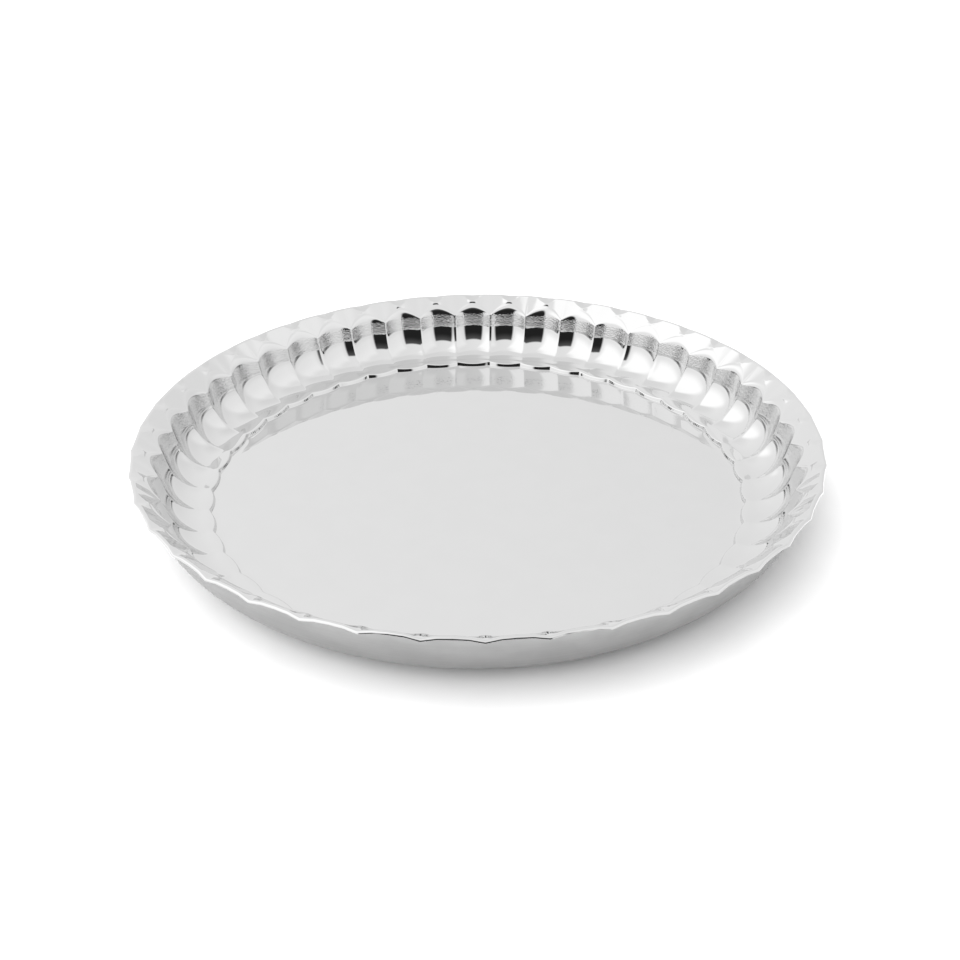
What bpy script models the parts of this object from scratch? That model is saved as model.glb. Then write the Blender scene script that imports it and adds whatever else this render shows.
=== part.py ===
"""Round serving tray with a fluted wall: two pressed metal skins, one nested in the other.

The fluted pan is the polished inside: a flat serving floor, a small step up to a ledge,
a ring of hollow flutes that sweep up the wall, and a folded lip with one point per flute.
The outer shell is the smooth satin outside: a flat base, a round corner and a sloping wall
whose top edge seats under the pan's lip. Metres, +Z up, the origin under the base's centre.
"""
import math

import bmesh
import bpy
from mathutils import Vector

# Sheets and the fit between the two skins
PAN_SHEET = 0.0008
SHELL_SHEET = 0.0008
SEAT_GAP = 0.0003

# Serving floor, and the step that rings it
FLOOR_RADIUS = 0.1410
FLOOR_SCALLOP = 0.0015
STEP_HEIGHT = 0.0019
STEP_RUN = 0.0006

# Flutes
FLUTE_COUNT = 44
FIRST_RIDGE = math.radians(-93.6)
LEDGE_WIDTH = 0.0090
LEDGE_RISE = 0.0003
WALL_RUN = 0.0146
WALL_RISE = 0.0271
COVE_PULL = 0.0050
WALL_PULL = 0.0186
WALL_LEAN_DEG = 10.0
FLUTE_DEPTH = 0.0025
RIDGE_DROP = 0.0041
RIDGE_START = 0.0015

# Lip
LIP_REACH = 0.0104
LIP_RISE = 0.0031
TIP_REACH = 0.0014
TIP_DROP = 0.0007

# Outer shell
CORNER_RADIUS = 0.0220
SEAT_SETBACK = 0.0039

# Facets
COLUMNS_PER_FLUTE = 4
WALL_ROWS = 6
SHELL_SEGMENTS = 88
CORNER_ROWS = 7
MERGE = 1e-6

# Places that follow from the sizes above
FLUTE_PITCH = 2 * math.pi / FLUTE_COUNT
FLOOR_Z = SHELL_SHEET + SEAT_GAP + PAN_SHEET
LEDGE_END = Vector((FLOOR_RADIUS + LEDGE_WIDTH, FLOOR_Z + STEP_HEIGHT + LEDGE_RISE))
APEX = LEDGE_END + Vector((WALL_RUN, WALL_RISE))
TIP = APEX + Vector((LIP_REACH, LIP_RISE))
RIDGE_TOP = APEX - Vector((FLUTE_DEPTH + RIDGE_DROP * math.tan(math.radians(WALL_LEAN_DEG)), RIDGE_DROP))
RIDGE_END = TIP + Vector((-TIP_REACH, TIP_DROP))


def clear_scene():
    for thing in list(bpy.data.objects):
        bpy.data.objects.remove(thing, do_unlink=True)


def metal(name, colour, roughness):
    """A plain metal finish."""
    material = bpy.data.materials.new(name)
    material.use_nodes = True
    shader = material.node_tree.nodes["Principled BSDF"]
    shader.inputs["Base Color"].default_value = (*colour, 1.0)
    shader.inputs["Metallic"].default_value = 1.0
    shader.inputs["Roughness"].default_value = roughness
    return material


def wall_curve(foot, top, t):
    """A point on the cove: level at its foot, leaning out by WALL_LEAN_DEG at its top."""
    lean = math.radians(WALL_LEAN_DEG)
    foot_pull = foot + Vector((COVE_PULL, 0.0))
    top_pull = top - Vector((math.sin(lean), math.cos(lean))) * WALL_PULL
    s = 1.0 - t
    return foot * s**3 + foot_pull * 3 * s * s * t + top_pull * 3 * s * t * t + top * t**3


def flute_rows():
    """Rows of one flute from the floor to the rim, each as (ridge point, middle point, is rim)."""
    step_foot = Vector((FLOOR_RADIUS, FLOOR_Z))
    step_top = step_foot + Vector((STEP_RUN, STEP_HEIGHT))
    scallop = Vector((FLOOR_SCALLOP, 0.0))
    rows = [(step_foot, step_foot - scallop, False), (step_top, step_top - scallop, False)]
    ridge_foot = LEDGE_END - Vector((RIDGE_START, 0.0))
    for row in range(WALL_ROWS + 1):
        t = row / WALL_ROWS
        ridge = wall_curve(ridge_foot, RIDGE_TOP, t)
        middle = wall_curve(LEDGE_END, APEX, t)
        rows.append((ridge, middle, False))
    rows.append((RIDGE_END, TIP, True))
    return rows


def across_flute(ridge, middle, is_rim, u):
    """The point of a row at u, from -1 at one ridge through 0 in the middle to 1 at the next.

    The wall is a round hollow with a sharp ridge at each side. The rim is the other way
    round: it comes to a point in the middle of the flute and is round over the ridges.
    """
    share = math.sin(abs(u) * math.pi / 2) if is_rim else u * u
    return middle.lerp(ridge, share)


def add_object(name, bm, material):
    """A named object, shaded smooth except over its sharp edges."""
    mesh = bpy.data.meshes.new(name)
    bm.to_mesh(mesh)
    bm.free()
    mesh.materials.append(material)
    mesh.shade_smooth()
    mesh.set_sharp_from_angle(angle=math.radians(25))
    thing = bpy.data.objects.new(name, mesh)
    bpy.context.scene.collection.objects.link(thing)
    return thing


def fill_floor(bm):
    """Close the innermost open edge of the ring of flutes with one flat face, facing up."""
    open_edges = [edge for edge in bm.edges if edge.is_boundary]
    inner = [edge for edge in open_edges if edge.verts[0].co.to_2d().length < LEDGE_END.x]
    floor = bmesh.ops.edgeloop_fill(bm, edges=inner)["faces"][0]
    bmesh.ops.recalc_face_normals(bm, faces=bm.faces)
    if floor.normal.z < 0:
        bmesh.ops.reverse_faces(bm, faces=bm.faces)


def one_flute(bm):
    """Shape the flute that starts at the first ridge, as a grid of columns by rows."""
    rows = flute_rows()
    last_row = len(rows) - 1
    bmesh.ops.create_grid(bm, x_segments=COLUMNS_PER_FLUTE, y_segments=last_row, size=1.0)
    grid = {}
    for vert in bm.verts:
        u = vert.co.x
        column = round((u + 1) / 2 * COLUMNS_PER_FLUTE)
        row = round((vert.co.y + 1) / 2 * last_row)
        grid[column, row] = vert
        point = across_flute(*rows[row], u)
        angle = FIRST_RIDGE + (u + 1) / 2 * FLUTE_PITCH
        vert.co = (point.x * math.cos(angle), point.x * math.sin(angle), point.y)
    # The lip's folds run from the flute's apex out to the rim on both sides of its point.
    middle = COLUMNS_PER_FLUTE // 2
    for side in (middle - 1, middle + 1):
        bmesh.ops.connect_vert_pair(bm, verts=[grid[middle, last_row - 1], grid[side, last_row]])


def fluted_pan(material):
    """The polished inside: one flute is shaped, then repeated round the tray."""
    bm = bmesh.new()
    one_flute(bm)
    copies = FLUTE_COUNT - 1
    bmesh.ops.spin(
        bm, geom=bm.verts[:] + bm.edges[:] + bm.faces[:], cent=(0, 0, 0), axis=(0, 0, 1),
        dvec=(0, 0, 0), angle=FLUTE_PITCH * copies, steps=copies, use_duplicate=True)
    bmesh.ops.remove_doubles(bm, verts=bm.verts, dist=MERGE)
    fill_floor(bm)
    pan = add_object("fluted_pan", bm, material)
    solid = pan.modifiers.new("sheet", "SOLIDIFY")
    solid.thickness = PAN_SHEET
    solid.offset = -1.0
    solid.use_even_offset = True
    return pan


def lip_underside(radius):
    """Height of the lip's lower face above a circle of this radius, at its lowest place."""
    heights = []
    for inner, outer in ((RIDGE_TOP, RIDGE_END), (APEX, TIP)):
        run = outer - inner
        height = inner.y + run.y * (radius - inner.x) / run.x
        heights.append(height - PAN_SHEET * run.length / run.x)
    return min(heights)


def shell_base_radius():
    """Radius where the base turns up into the corner, so that the corner clears the flutes' backs."""
    inset = SHELL_SHEET + SEAT_GAP + PAN_SHEET
    reach = CORNER_RADIUS - inset
    samples = 40
    radii = []
    for sample in range(samples + 1):
        point = wall_curve(LEDGE_END, APEX, sample / samples)
        below_centre = CORNER_RADIUS - point.y
        if 0 < below_centre < reach:
            radii.append(point.x - math.sqrt(reach**2 - below_centre**2))
    return max(radii)


def shell_section():
    """The shell's cut edge: up the outside from the base, level across the top, down the inside."""
    seat_radius = TIP.x - SEAT_SETBACK
    seat = Vector((seat_radius, lip_underside(seat_radius) - SEAT_GAP))
    centre = Vector((shell_base_radius(), CORNER_RADIUS))
    inner_radius = CORNER_RADIUS - SHELL_SHEET
    to_seat = seat - centre
    slope = math.atan2(to_seat.y, to_seat.x) + math.asin(inner_radius / to_seat.length)
    turns = [slope * row / CORNER_ROWS for row in range(CORNER_ROWS + 1)]
    spokes = [Vector((math.sin(turn), -math.cos(turn))) for turn in turns]
    outside = [centre + CORNER_RADIUS * spoke for spoke in spokes]
    outside.append(seat + Vector((SHELL_SHEET / math.sin(slope), 0.0)))
    inside = [centre + inner_radius * spoke for spoke in spokes] + [seat]
    return outside + inside[::-1]


def outer_shell(material):
    """The satin outside: its cut edge is spun round the tray and both sides of the base are closed."""
    bm = bmesh.new()
    turn = Vector((math.cos(FIRST_RIDGE), math.sin(FIRST_RIDGE)))
    verts = [bm.verts.new((*(turn * point.x), point.y)) for point in shell_section()]
    edges = [bm.edges.new(pair) for pair in zip(verts, verts[1:])]
    bmesh.ops.spin(
        bm, geom=verts + edges, cent=(0, 0, 0), axis=(0, 0, 1), dvec=(0, 0, 0),
        angle=2 * math.pi, steps=SHELL_SEGMENTS, use_merge=True)
    bmesh.ops.remove_doubles(bm, verts=bm.verts, dist=MERGE)
    bmesh.ops.holes_fill(bm, edges=bm.edges, sides=0)
    bmesh.ops.recalc_face_normals(bm, faces=bm.faces)
    return add_object("outer_shell", bm, material)


clear_scene()
fluted_pan(metal("polished steel", (0.80, 0.80, 0.80), 0.05))
outer_shell(metal("satin steel", (0.62, 0.62, 0.63), 0.38))
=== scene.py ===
"""Looks of the round serving tray: a mirror-polished fluted pan in a smooth satin shell.

The pan and the shell are modelled again here at full detail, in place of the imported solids.
Metres, +Z up, the tray standing on z = 0 and seen from the -Y side.
"""
import math

import bmesh
import bpy
from mathutils import Euler, Matrix, Vector


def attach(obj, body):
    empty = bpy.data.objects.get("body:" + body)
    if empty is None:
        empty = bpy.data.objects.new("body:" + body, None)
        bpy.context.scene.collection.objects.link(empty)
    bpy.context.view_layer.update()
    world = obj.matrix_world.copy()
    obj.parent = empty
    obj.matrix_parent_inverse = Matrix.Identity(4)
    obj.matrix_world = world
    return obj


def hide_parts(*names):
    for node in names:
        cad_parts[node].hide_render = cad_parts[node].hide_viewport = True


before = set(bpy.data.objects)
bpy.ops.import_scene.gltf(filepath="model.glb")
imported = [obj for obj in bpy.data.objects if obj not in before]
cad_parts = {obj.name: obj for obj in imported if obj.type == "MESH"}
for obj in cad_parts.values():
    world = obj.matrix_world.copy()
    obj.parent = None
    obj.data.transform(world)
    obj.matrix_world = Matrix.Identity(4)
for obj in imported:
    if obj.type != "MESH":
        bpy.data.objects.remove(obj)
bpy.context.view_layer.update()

# Sheet of both skins
SHEET = 0.0008

# Serving floor and the step that rings it
FLOOR_Z = 0.0019
FLOOR_RADIUS = 0.1412
FLOOR_SCALLOP = 0.0019
FLOOR_MARGIN = 0.0030
STEP_HEIGHT = 0.0021
STEP_LEAN = math.radians(75)
STEP_FOOT_RADIUS = 0.0003
STEP_EDGE_RADIUS = 0.0008
STEP_BACK = 1.2 * SHEET

# Flutes
FLUTE_COUNT = 44
FLUTE_PITCH = 2 * math.pi / FLUTE_COUNT
FIRST_RIDGE = math.radians(-93.3)
FLUTE_DEPTH = 0.0026
RIDGE_ROUND = 0.09
RIDGE_LIFT = 0.0005
LEDGE_END = 0.1461
LEDGE_SLOPE = math.radians(0.7)
SCOOP_RADIUS = 0.0200
SCOOP_END = math.radians(8)
COVE_RADIUS = 0.0171
COVE_END = math.radians(57.7)
WALL_RADIUS = 0.0285
WALL_LEAN = math.radians(77.2)
ROLL_MIDDLE = 0.0080
ROLL_RIDGE = 0.0015
ROLL_FADE = 1.5
ROLL_END = math.radians(34)

# Lip: points are (radius, height), and widths are shares of half a flute
TIP = Vector((0.1751, 0.0368))
CREST = Vector((0.1737, 0.0375))
RIM_CORNER = 0.50
RIM_CORNER_SHARE = 0.84
GABLE_FOOT = Vector((0.1640, 0.0280))
GABLE_TOP = Vector((0.1695, 0.0337))
GABLE_ROUND = 0.25
RISER_WIDTH = 0.24
RISER_FADE = 4
RISER_PUSH = 0.00035
TONGUE_INNER = Vector((0.1708, 0.0352))
TONGUE_WIDTH = 0.54
TONGUE_ROUND = 1.8
RIM_BAND = 0.05
RIM_ROLL = 0.0013
RIM_ROLL_END = math.radians(-70)
RIM_EDGE = 0.00005

# Shell
SHELL_CORNER = 0.0338
SHELL_BASE = 0.1376
SHELL_TOP = Vector((0.1711, 0.0336))
SHELL_EDGE_ROUND = 0.0003
SHELL_EDGE_ANGLE = math.radians(40)
SHELL_EDGE_SEGMENTS = 2
SHELL_SEGMENTS = 176
SHELL_CORNER_ROWS = 20

# Doubled points closer than this are merged
MERGE_DISTANCE = 1e-6

# Columns across one flute
HOLLOW_COLUMNS = 24
RIDGE_COLUMNS = 3

# Rows along one column; the riser's are its places from gable to fold, with their shares of the push
STEP_ROUND_ROWS = 3
LEDGE_ROWS = 2
SCOOP_ROWS = 3
COVE_ROWS = 8
WALL_ROWS = 5
WALL_TOP_ROWS = 2
ROLL_ROWS = 8
RISER_ROWS = ((0.06, 0.15), (0.4, 0.92), (0.5, 1.0), (0.6, 0.9), (0.94, 0.1), (1.0, 0.0))
TONGUE_ROWS = (0.08, 0.5, 1.0)
RIM_ROLL_ROWS = 5


def ridge_share(place):
    """How far the surface stands out at a place across a flute: 0 in the middle, 1 on a ridge.

    A place runs from -1 on one ridge to 1 on the next. The hollow is a parabola, and its last
    stretch before the ridge turns level, so the ridge is round.
    """
    distance = abs(place)
    start = 1.0 - RIDGE_ROUND
    if distance <= start:
        return distance * distance
    into = distance - start
    return start * start + 2 * start * into - start / RIDGE_ROUND * into * into


class Path:
    """Points of a section in (radius, height), laid by straight runs and arcs."""

    def __init__(self, start, heading):
        self.points = [start.copy()]
        self.heading = heading

    def run(self, length, steps):
        """Go straight on."""
        start = self.points[-1]
        way = Vector((math.cos(self.heading), math.sin(self.heading)))
        for step in range(1, steps + 1):
            self.points.append(start + way * (length * step / steps))

    def turn(self, radius, heading, steps):
        """Go round an arc until the path has the new heading."""
        start = self.points[-1]
        side = 1.0 if heading > self.heading else -1.0
        first = self.heading
        for step in range(1, steps + 1):
            now = first + (heading - first) * step / steps
            across = side * radius * (math.sin(now) - math.sin(first))
            rise = side * radius * (math.cos(first) - math.cos(now))
            self.points.append(start + Vector((across, rise)))
        self.heading = heading


def step_foot(share):
    """Radius of the step's foot: the floor reaches further out under a ridge."""
    return FLOOR_RADIUS - FLOOR_SCALLOP * (1.0 - share)


def lay_step(path, share):
    """The step up from the floor to the ledge; its edge is higher under a ridge."""
    path.run(step_foot(share) - STEP_FOOT_RADIUS - path.points[-1].x, 1)
    path.turn(STEP_FOOT_RADIUS, STEP_LEAN, STEP_ROUND_ROWS)
    turned = (STEP_FOOT_RADIUS + STEP_EDGE_RADIUS) * (1.0 - math.cos(STEP_LEAN))
    climb = STEP_HEIGHT + RIDGE_LIFT * share - turned
    path.run(climb / math.sin(STEP_LEAN), 1)
    path.turn(STEP_EDGE_RADIUS, LEDGE_SLOPE, STEP_ROUND_ROWS)


def lay_hollow(path, share):
    """The ledge and the cove; a ridge's extra height fades out up the cove."""
    ledge_end = LEDGE_END - FLUTE_DEPTH * share
    path.run((ledge_end - path.points[-1].x) / math.cos(LEDGE_SLOPE), LEDGE_ROWS)
    first = len(path.points)
    path.turn(SCOOP_RADIUS, SCOOP_END, SCOOP_ROWS)
    path.turn(COVE_RADIUS, COVE_END, COVE_ROWS)
    for count, point in enumerate(path.points[first:], start=1):
        left = 1.0 - count / (len(path.points) - first)
        point.y -= RIDGE_LIFT * share * (1.0 - left * left)


def rim_point(place):
    """The rim: it comes to a point in the middle of each flute and is nearly level over the ridges."""
    distance = abs(place)
    share = RIM_CORNER_SHARE * distance / RIM_CORNER
    if distance > RIM_CORNER:
        share = 1.0 - (1.0 - RIM_CORNER_SHARE) * (1.0 - distance) / (1.0 - RIM_CORNER)
    return TIP.lerp(CREST, share)


def fold_point(place):
    """The fold that bounds the flat tongue in the middle of a flute's lip; it runs out along the rim."""
    along = min((abs(place) / TONGUE_WIDTH) ** TONGUE_ROUND, 1.0 - RIM_BAND)
    return TONGUE_INNER.lerp(rim_point(place), along)


def gable_point(place):
    """The fold between the wall's roll and the lip: up from each ridge to a round peak."""
    fallen = math.hypot(place, GABLE_ROUND) - GABLE_ROUND
    whole = math.hypot(1.0, GABLE_ROUND) - GABLE_ROUND
    return GABLE_TOP.lerp(GABLE_FOOT, fallen / whole)


def lay_gable(path, place):
    """The wall's straight top and the roll over into the lip, rounder in the middle of the flute."""
    point = gable_point(place)
    way = Vector((math.cos(ROLL_END), math.sin(ROLL_END)))
    wall_way = Vector((math.cos(WALL_LEAN), math.sin(WALL_LEAN)))
    gap = point - path.points[-1]
    meet = (gap.x * way.y - gap.y * way.x) / (wall_way.x * way.y - wall_way.y * way.x)
    radius = ROLL_RIDGE + (ROLL_MIDDLE - ROLL_RIDGE) * (1.0 - abs(place) ** ROLL_FADE)
    reach = radius * math.tan((WALL_LEAN - ROLL_END) / 2)
    path.run(meet - reach, WALL_TOP_ROWS)
    path.turn(radius, ROLL_END, ROLL_ROWS)
    path.run((point - path.points[-1]).length, 1)


def lay_lip(path, place):
    """The lip's facet with the small riser at its peak, the tongue out to the rim, and the rolled edge."""
    gable = path.points[-1]
    fold = fold_point(place)
    slope = (fold - gable).normalized()
    fade = max(0.0, 1.0 - (place / RISER_WIDTH) ** RISER_FADE)
    push = Vector((-slope.y, slope.x)) * (RISER_PUSH * fade)
    for along, share in RISER_ROWS:
        path.points.append(gable.lerp(fold, along) + push * share)
    rim = rim_point(place)
    for along in TONGUE_ROWS:
        path.points.append(fold.lerp(rim, along))
    way = rim - fold
    path.heading = math.atan2(way.y, way.x)
    path.turn(RIM_ROLL, RIM_ROLL_END, RIM_ROLL_ROWS)
    path.run(RIM_EDGE, 1)


def under_rows():
    """Rows of the upper side that the under side follows, counted back from the lip's edge."""
    rim = RIM_ROLL_ROWS + 1
    fold = rim + len(TONGUE_ROWS)
    gable = fold + len(RISER_ROWS)
    wall_top = gable + 1 + ROLL_ROWS
    middle_roll = wall_top - ROLL_ROWS // 2
    wall = wall_top + WALL_TOP_ROWS
    cove = wall + WALL_ROWS
    scoop = cove + COVE_ROWS
    middle_cove = scoop - COVE_ROWS // 2
    ledge = scoop + SCOOP_ROWS
    return 0, rim, fold, gable, middle_roll, wall_top, wall, cove, middle_cove, scoop, ledge


def offset_below(points, index):
    """A point one sheet below the given one, square to the section."""
    before = points[max(index - 1, 0)]
    after = points[min(index + 1, len(points) - 1)]
    way = (after - before).normalized()
    return points[index] + Vector((way.y, -way.x)) * SHEET


def flute_column(place):
    """One column of the pan's skin: from the floor over the rim and back under to the floor."""
    share = ridge_share(place)
    path = Path(Vector((FLOOR_RADIUS - FLOOR_SCALLOP - FLOOR_MARGIN, FLOOR_Z)), 0.0)
    lay_step(path, share)
    lay_hollow(path, share)
    path.turn(WALL_RADIUS, WALL_LEAN, WALL_ROWS)
    lay_gable(path, place)
    lay_lip(path, place)
    top = path.points
    below = [offset_below(top, len(top) - 1 - back) for back in under_rows()]
    foot = step_foot(share)
    step_top = FLOOR_Z + STEP_HEIGHT + RIDGE_LIFT * share
    floor = [
        Vector((foot + STEP_BACK, step_top - SHEET)),
        Vector((foot + SHEET, FLOOR_Z)),
        Vector((foot - SHEET, FLOOR_Z - SHEET)),
        Vector((top[0].x, FLOOR_Z - SHEET))]
    return top + below + floor


def flute_places():
    """Places of the columns across one flute, closer together on its two ridges."""
    start = 1.0 - RIDGE_ROUND
    left = [-1.0 + RIDGE_ROUND * step / RIDGE_COLUMNS for step in range(RIDGE_COLUMNS)]
    hollow = [-start + 2 * start * step / HOLLOW_COLUMNS for step in range(HOLLOW_COLUMNS + 1)]
    return left + hollow + [-place for place in reversed(left)]


def one_flute(bm):
    """Shape the flute that starts at the first ridge, as a grid of columns by rows."""
    places = flute_places()
    columns = [flute_column(place) for place in places]
    last_column = len(columns) - 1
    last_row = len(columns[0]) - 1
    bmesh.ops.create_grid(bm, x_segments=last_column, y_segments=last_row, size=1.0)
    for vert in bm.verts:
        column = round((vert.co.x + 1) / 2 * last_column)
        row = round((vert.co.y + 1) / 2 * last_row)
        point = columns[column][row]
        angle = FIRST_RIDGE + (places[column] + 1) / 2 * FLUTE_PITCH
        vert.co = (point.x * math.cos(angle), point.x * math.sin(angle), point.y)


def finish_piece(name, bm, material, node):
    """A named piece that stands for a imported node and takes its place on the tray."""
    bmesh.ops.remove_doubles(bm, verts=bm.verts, dist=MERGE_DISTANCE)
    bmesh.ops.holes_fill(bm, edges=bm.edges, sides=0)
    bmesh.ops.recalc_face_normals(bm, faces=bm.faces)
    mesh = bpy.data.meshes.new(name)
    bm.to_mesh(mesh)
    bm.free()
    mesh.materials.append(material)
    mesh.shade_smooth()
    piece = bpy.data.objects.new(name, mesh)
    bpy.context.scene.collection.objects.link(piece)
    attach(piece, "root")
    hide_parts(node)
    return piece


def polished_pan(material):
    """The inside of the tray: one flute is shaped, then repeated round the floor."""
    bm = bmesh.new()
    one_flute(bm)
    copies = FLUTE_COUNT - 1
    bmesh.ops.spin(
        bm, geom=bm.verts[:] + bm.edges[:] + bm.faces[:], cent=(0, 0, 0), axis=(0, 0, 1),
        dvec=(0, 0, 0), angle=FLUTE_PITCH * copies, steps=copies, use_duplicate=True)
    finish_piece("polished_pan", bm, material, "fluted_pan")


def shell_section():
    """The shell's cut edge: up the outside from the base, over the top and down the inside."""
    centre = Vector((SHELL_BASE, SHELL_CORNER))
    inner = SHELL_CORNER - SHEET
    to_top = SHELL_TOP - centre
    slope = math.atan2(to_top.y, to_top.x) + math.asin(inner / to_top.length)
    outside = []
    inside = []
    for row in range(SHELL_CORNER_ROWS + 1):
        turn = slope * row / SHELL_CORNER_ROWS
        spoke = Vector((math.sin(turn), -math.cos(turn)))
        outside.append(centre + SHELL_CORNER * spoke)
        inside.append(centre + inner * spoke)
    outside.append(SHELL_TOP + Vector((SHEET / math.sin(slope), 0.0)))
    inside.append(SHELL_TOP)
    return outside + inside[::-1]


def satin_shell(material):
    """The outside of the tray: its cut edge is spun round and both sides of the base are closed."""
    bm = bmesh.new()
    verts = [bm.verts.new((point.x, 0.0, point.y)) for point in shell_section()]
    edges = [bm.edges.new(pair) for pair in zip(verts, verts[1:])]
    bmesh.ops.spin(
        bm, geom=verts + edges, cent=(0, 0, 0), axis=(0, 0, 1), dvec=(0, 0, 0),
        angle=2 * math.pi, steps=SHELL_SEGMENTS, use_merge=True)
    piece = finish_piece("satin_shell", bm, material, "outer_shell")
    edge = piece.modifiers.new("top edge", "BEVEL")
    edge.width = SHELL_EDGE_ROUND
    edge.segments = SHELL_EDGE_SEGMENTS
    edge.limit_method = "ANGLE"
    edge.angle_limit = SHELL_EDGE_ANGLE


class Graph:
    """Adds shader nodes to one tree and links them."""

    def __init__(self, tree):
        self.nodes = tree.nodes
        self.links = tree.links

    def feed(self, socket, value):
        """Give a socket a number, or link it to another node's output."""
        if isinstance(value, (int, float)):
            socket.default_value = value
        else:
            self.links.new(value, socket)

    def own_place(self):
        """A piece's own coordinates."""
        return self.nodes.new("ShaderNodeTexCoord").outputs["Object"]

    def math(self, operation, first, second=0.0):
        node = self.nodes.new("ShaderNodeMath")
        node.operation = operation
        self.feed(node.inputs[0], first)
        self.feed(node.inputs[1], second)
        return node.outputs[0]

    def times(self, first, second):
        return self.math("MULTIPLY", first, second)

    def blend(self, first, first_share, second, second_share):
        """The two values added, each times its share."""
        return self.math("ADD", self.times(first, first_share), self.times(second, second_share))

    def ramp(self, value, low, high, start=0.0, end=1.0):
        """Smooth change from start to end while the value goes from low to high."""
        node = self.nodes.new("ShaderNodeMapRange")
        node.interpolation_type = "SMOOTHSTEP"
        self.feed(node.inputs["Value"], value)
        for name, number in zip(("From Min", "From Max", "To Min", "To Max"), (low, high, start, end)):
            node.inputs[name].default_value = number
        return node.outputs["Result"]

    def band(self, value, low, high, soft):
        """1 between low and high, with an edge that is soft on both sides of each limit."""
        rise = self.ramp(value, low - soft, low + soft)
        fall = self.ramp(value, high - soft, high + soft, 1.0, 0.0)
        return self.times(rise, fall)

    def mix(self, factor, first, second):
        """The first value where the factor is 0 and the second where it is 1."""
        node = self.nodes.new("ShaderNodeMix")
        self.feed(node.inputs["Factor"], factor)
        self.feed(node.inputs["A"], first)
        self.feed(node.inputs["B"], second)
        return node.outputs["Result"]

    def noise(self, vector, scale, detail):
        node = self.nodes.new("ShaderNodeTexNoise")
        node.inputs["Scale"].default_value = scale
        node.inputs["Detail"].default_value = detail
        self.links.new(vector, node.inputs["Vector"])
        return node.outputs["Fac"]

    def split(self, vector):
        node = self.nodes.new("ShaderNodeSeparateXYZ")
        self.links.new(vector, node.inputs[0])
        return node.outputs

    def join(self, x, y, z):
        node = self.nodes.new("ShaderNodeCombineXYZ")
        for socket, value in zip(node.inputs, (x, y, z)):
            self.feed(socket, value)
        return node.outputs[0]


def new_material(name):
    """A material with its graph and its shader."""
    material = bpy.data.materials.new(name)
    material.use_nodes = True
    graph = Graph(material.node_tree)
    return material, graph, graph.nodes["Principled BSDF"]


# Wear that both finishes share
HAZE_SCALE = 60.0
HAZE_DETAIL = 4.0
HAZE_RANGE = (0.3, 0.7)
HAIRLINE_SCALE = 900.0
HAIRLINE_DETAIL = 1.0
HAIRLINE_STRETCH = 0.02
HAIRLINE_TURNS = (math.radians(20), math.radians(75), math.radians(140))
HAIRLINE_RANGE = (0.70, 0.76)
HAIRLINE_DEPTH = 4e-7
SPUN_SCALE = 1500.0
SPUN_DETAIL = 3.0
SPUN_RANGE = (0.3, 0.7)

# Polished steel of the pan
PAN_GREYS = (0.737, 0.743)
PAN_ROUGHNESS = (0.012, 0.040)
HAIRLINE_ROUGHNESS = 0.05
RIPPLE_HEIGHT = 0.00008
RIPPLE_SCALE = 1850.0
RIPPLE_DETAIL = 0.0
RIPPLE_STRETCH = 0.6
RIPPLE_HEIGHTS = (0.0208, 0.0284)
RIPPLE_SOFT = 0.0010

# Satin steel of the shell
SHELL_GREYS = (0.33, 0.36)
SHELL_ROUGHNESS = (0.30, 0.42)
SPUN_DEPTH = 3e-6


def metal_wear():
    """Node group for both finishes: buffing haze, fine hairlines, and lines that run round the tray."""
    tree = bpy.data.node_groups.new("metal wear", "ShaderNodeTree")
    tree.interface.new_socket(name="Place", in_out="INPUT", socket_type="NodeSocketVector")
    for name in ("Haze", "Hairlines", "Spun lines"):
        tree.interface.new_socket(name=name, in_out="OUTPUT", socket_type="NodeSocketFloat")
    graph = Graph(tree)
    place = graph.nodes.new("NodeGroupInput").outputs["Place"]
    results = graph.nodes.new("NodeGroupOutput").inputs
    haze = graph.noise(place, HAZE_SCALE, HAZE_DETAIL)
    graph.feed(results["Haze"], graph.ramp(haze, *HAZE_RANGE))
    x, y, z = graph.split(place)
    hairlines = 0.0
    for turn in HAIRLINE_TURNS:
        along = graph.blend(x, math.cos(turn), y, math.sin(turn))
        across = graph.blend(x, -math.sin(turn), y, math.cos(turn))
        streaks = graph.join(graph.times(along, HAIRLINE_STRETCH), across, z)
        line = graph.ramp(graph.noise(streaks, HAIRLINE_SCALE, HAIRLINE_DETAIL), *HAIRLINE_RANGE)
        hairlines = graph.math("MAXIMUM", line, hairlines)
    graph.feed(results["Hairlines"], hairlines)
    radius = graph.math("SQRT", graph.blend(x, x, y, y))
    spun = graph.noise(graph.join(radius, z, 0.0), SPUN_SCALE, SPUN_DETAIL)
    graph.feed(results["Spun lines"], graph.ramp(spun, *SPUN_RANGE))
    return tree


def worn_metal(name, wear):
    """A metal material with the shared wear laid on the piece's own coordinates."""
    material, graph, shader = new_material(name)
    shader.inputs["Metallic"].default_value = 1.0
    group = graph.nodes.new("ShaderNodeGroup")
    group.node_tree = wear
    graph.links.new(graph.own_place(), group.inputs["Place"])
    return material, graph, shader, group.outputs


def raise_surface(graph, shader, height):
    """Feed a height in metres to the shader's normal."""
    bump = graph.nodes.new("ShaderNodeBump")
    bump.inputs["Distance"].default_value = 1.0
    graph.feed(bump.inputs["Height"], height)
    graph.feed(shader.inputs["Normal"], bump.outputs["Normal"])


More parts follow.
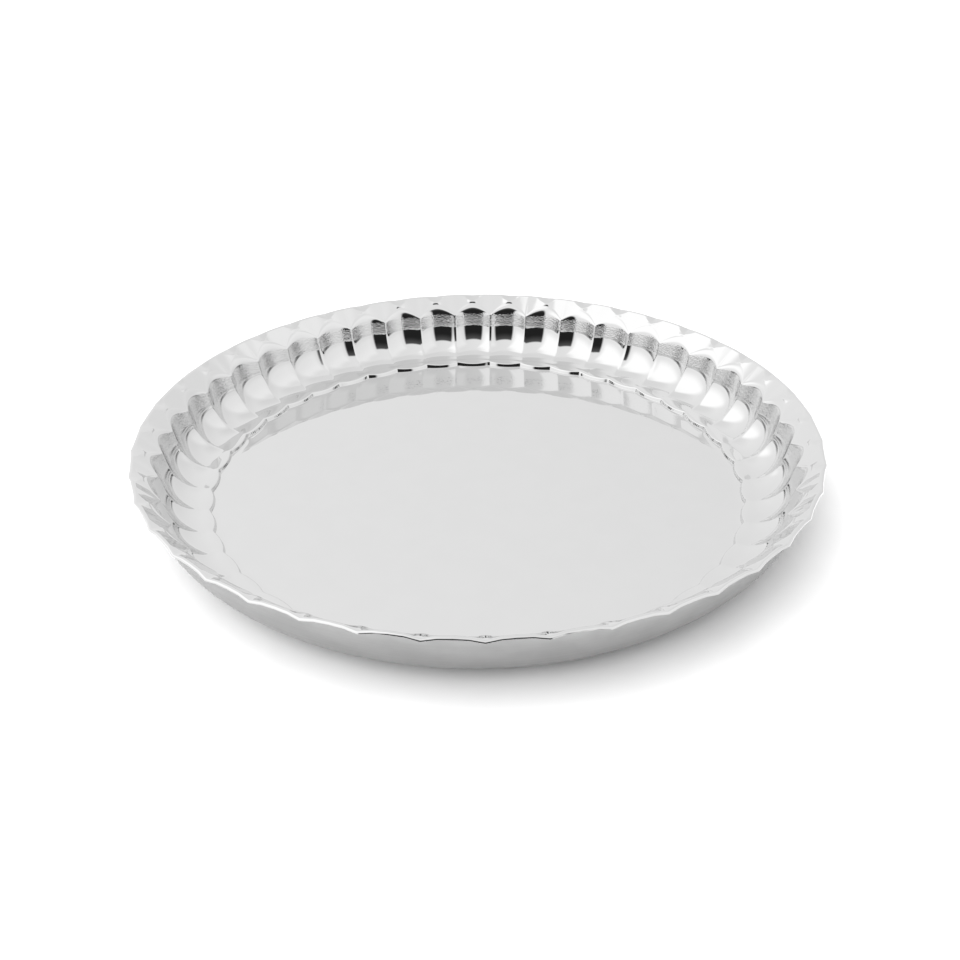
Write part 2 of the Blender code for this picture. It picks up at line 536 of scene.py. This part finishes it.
def polished_steel(wear):
    """Mirror polish with haze and hairlines; pressing has left the steep wall slightly rippled."""
    material, graph, shader, worn = worn_metal("polished steel", wear)
    graph.feed(shader.inputs["Base Color"], graph.ramp(worn["Haze"], 0.0, 1.0, *PAN_GREYS))
    haze = graph.ramp(worn["Haze"], 0.0, 1.0, *PAN_ROUGHNESS)
    scratched = graph.times(worn["Hairlines"], HAIRLINE_ROUGHNESS)
    graph.feed(shader.inputs["Roughness"], graph.math("ADD", haze, scratched))
    x, y, z = graph.split(graph.own_place())
    pressed = graph.band(z, *RIPPLE_HEIGHTS, RIPPLE_SOFT)
    drawn = graph.join(graph.times(x, RIPPLE_STRETCH), graph.times(y, RIPPLE_STRETCH), z)
    ripple = graph.times(graph.noise(drawn, RIPPLE_SCALE, RIPPLE_DETAIL), pressed)
    height = graph.blend(ripple, RIPPLE_HEIGHT, worn["Hairlines"], -HAIRLINE_DEPTH)
    raise_surface(graph, shader, height)
    return material


def satin_steel(wear):
    """Spun satin: fine lines run round the wall, under a few hairlines."""
    material, graph, shader, worn = worn_metal("satin steel", wear)
    graph.feed(shader.inputs["Base Color"], graph.ramp(worn["Haze"], 0.0, 1.0, *SHELL_GREYS))
    graph.feed(shader.inputs["Roughness"], graph.ramp(worn["Spun lines"], 0.0, 1.0, *SHELL_ROUGHNESS))
    height = graph.blend(worn["Spun lines"], SPUN_DEPTH, worn["Hairlines"], -HAIRLINE_DEPTH)
    raise_surface(graph, shader, height)
    return material


# Studio: levels by direction, in degrees; azimuth 0 is towards the camera and -90 is the left
WINDOW_SIDES = (-29.0, 28.0)
WINDOW_TOP = 43.0
WINDOW_SOFT = 3.5
WINDOW_LEVELS = (0.02, 0.10)
KEY_SIDES = (-125.0, -38.0)
KEY_HEIGHTS = (16.0, 76.0)
KEY_LEVEL = 0.29
FILL_SIDES = (35.0, 115.0)
FILL_HEIGHTS = (8.0, 62.0)
FILL_LEVEL = 0.14
BACK_SIDE = 130.0
BACK_HEIGHTS = (50.0, 84.0)
BACK_DIP = 0.09
PANEL_SOFT = 10.0
BASE_HEIGHTS = (18.0, 46.0)
BASE_LEVELS = (0.97, 1.01)
SIDE_TILT = -0.10
AMBIENT_LEVEL = 0.12
AMBIENT_SIDES = 1.1
WHITE = 0.985


def studio_level(graph, x, azimuth, height):
    """What the metal mirrors: white all round, brighter at the left, with a dark opening in front."""
    key = graph.times(
        graph.band(azimuth, *KEY_SIDES, PANEL_SOFT), graph.band(height, *KEY_HEIGHTS, PANEL_SOFT))
    fill = graph.times(
        graph.band(azimuth, *FILL_SIDES, PANEL_SOFT), graph.band(height, *FILL_HEIGHTS, PANEL_SOFT))
    behind = graph.ramp(graph.math("ABSOLUTE", azimuth), BACK_SIDE - PANEL_SOFT, BACK_SIDE + PANEL_SOFT)
    dip = graph.times(behind, graph.band(height, *BACK_HEIGHTS, PANEL_SOFT))
    level = graph.ramp(height, *BASE_HEIGHTS, *BASE_LEVELS)
    for change, share in ((x, SIDE_TILT), (key, KEY_LEVEL), (fill, FILL_LEVEL), (dip, -BACK_DIP)):
        level = graph.blend(level, 1.0, change, share)
    opening = graph.times(
        graph.band(azimuth, *WINDOW_SIDES, WINDOW_SOFT),
        graph.ramp(height, WINDOW_TOP - WINDOW_SOFT, WINDOW_TOP + WINDOW_SOFT, 1.0, 0.0))
    inside = graph.ramp(height, WINDOW_TOP / 2, WINDOW_TOP, *WINDOW_LEVELS)
    return graph.mix(opening, level, inside)


def studio_world():
    """The studio for mirrored rays, light from the sides for the table, and a white backdrop."""
    world = bpy.data.worlds.new("studio")
    bpy.context.scene.world = world
    world.use_nodes = True
    graph = Graph(world.node_tree)
    x, y, z = graph.split(graph.nodes.new("ShaderNodeTexCoord").outputs["Generated"])
    azimuth = graph.math("DEGREES", graph.math("ARCTAN2", x, graph.times(y, -1.0)))
    height = graph.math("DEGREES", graph.math("ARCSINE", z))
    studio = studio_level(graph, x, azimuth, height)
    ambient = graph.blend(graph.math("ABSOLUTE", x), AMBIENT_SIDES, 1.0, AMBIENT_LEVEL)
    path = graph.nodes.new("ShaderNodeLightPath").outputs
    mirrored = graph.math("MAXIMUM", path["Is Glossy Ray"], path["Is Transmission Ray"])
    level = graph.mix(mirrored, ambient, studio)
    level = graph.mix(path["Is Camera Ray"], level, WHITE)
    background = graph.nodes["Background"]
    background.inputs["Color"].default_value = (1.0, 1.0, 1.0, 1.0)
    graph.feed(background.inputs["Strength"], level)


# Table
TABLE_REACH = 6.0
TABLE_GAP = 0.0002
TABLE_SIDES = 64
TABLE_GREYS = (0.89, 0.91)
TABLE_ROUGHNESS = 0.9
TABLE_SPECULAR = 0.0
TABLE_GRAIN_SCALE = 25.0
TABLE_GRAIN_DETAIL = 3.0
TABLE_GRAIN_RANGE = (0.3, 0.7)


def pale_floor():
    """The white table that the tray stands on, wide enough to fill the picture."""
    bm = bmesh.new()
    bmesh.ops.create_circle(bm, cap_ends=True, segments=TABLE_SIDES, radius=TABLE_REACH)
    mesh = bpy.data.meshes.new("pale_floor")
    bm.to_mesh(mesh)
    bm.free()
    floor = bpy.data.objects.new("pale_floor", mesh)
    floor.location.z = -TABLE_GAP
    bpy.context.scene.collection.objects.link(floor)
    material, graph, shader = new_material("pale floor")
    grain = graph.noise(graph.own_place(), TABLE_GRAIN_SCALE, TABLE_GRAIN_DETAIL)
    graph.feed(shader.inputs["Base Color"], graph.ramp(grain, *TABLE_GRAIN_RANGE, *TABLE_GREYS))
    shader.inputs["Roughness"].default_value = TABLE_ROUGHNESS
    shader.inputs["Specular IOR Level"].default_value = TABLE_SPECULAR
    mesh.materials.append(material)


# Camera, fitted to the tray's outline in the picture; its sensor is in millimetres
CAMERA_PLACE = Vector((0.0, -0.4928, 0.3048))
CAMERA_TARGET = Vector((0.0, 0.0, 0.0027))
CAMERA_ROLL = -0.0092
CAMERA_SENSOR = 36.0
CAMERA_NEAR = 0.01
FOCAL_PIXELS = 1069.0
IMAGE_PIXELS = 960.0
TARGET_PIXEL = (477.6, 477.1)


def camera():
    """The camera of the picture, with the target at its own pixel."""
    data = bpy.data.cameras.new("camera")
    data.sensor_width = CAMERA_SENSOR
    data.lens = FOCAL_PIXELS / IMAGE_PIXELS * CAMERA_SENSOR
    data.shift_x = (IMAGE_PIXELS / 2 - TARGET_PIXEL[0]) / IMAGE_PIXELS
    data.shift_y = (TARGET_PIXEL[1] - IMAGE_PIXELS / 2) / IMAGE_PIXELS
    data.clip_start = CAMERA_NEAR
    viewer = bpy.data.objects.new("camera", data)
    aim = (CAMERA_TARGET - CAMERA_PLACE).to_track_quat("-Z", "Y").to_matrix()
    roll = Matrix.Rotation(CAMERA_ROLL, 3, "Z")
    viewer.matrix_world = Matrix.Translation(CAMERA_PLACE) @ (aim @ roll).to_4x4()
    bpy.context.scene.collection.objects.link(viewer)
    bpy.context.scene.camera = viewer


# Overhead light
TOP_LIGHT_LEVEL = 4.0
TOP_LIGHT_SPREAD = math.radians(100)
TOP_LIGHT_TURN = Euler((math.radians(10), math.radians(-26), 0.0))


def top_light():
    """A wide overhead light for the table's shadow; the mirror finish doesn't show it."""
    data = bpy.data.lights.new("top light", "SUN")
    data.energy = TOP_LIGHT_LEVEL
    data.angle = TOP_LIGHT_SPREAD
    light = bpy.data.objects.new("top light", data)
    light.rotation_euler = TOP_LIGHT_TURN
    light.visible_glossy = False
    bpy.context.scene.collection.objects.link(light)


wear_nodes = metal_wear()
polished_pan(polished_steel(wear_nodes))
satin_shell(satin_steel(wear_nodes))
studio_world()
pale_floor()
top_light()
camera()
bpy.context.scene.view_settings.view_transform = "Standard"
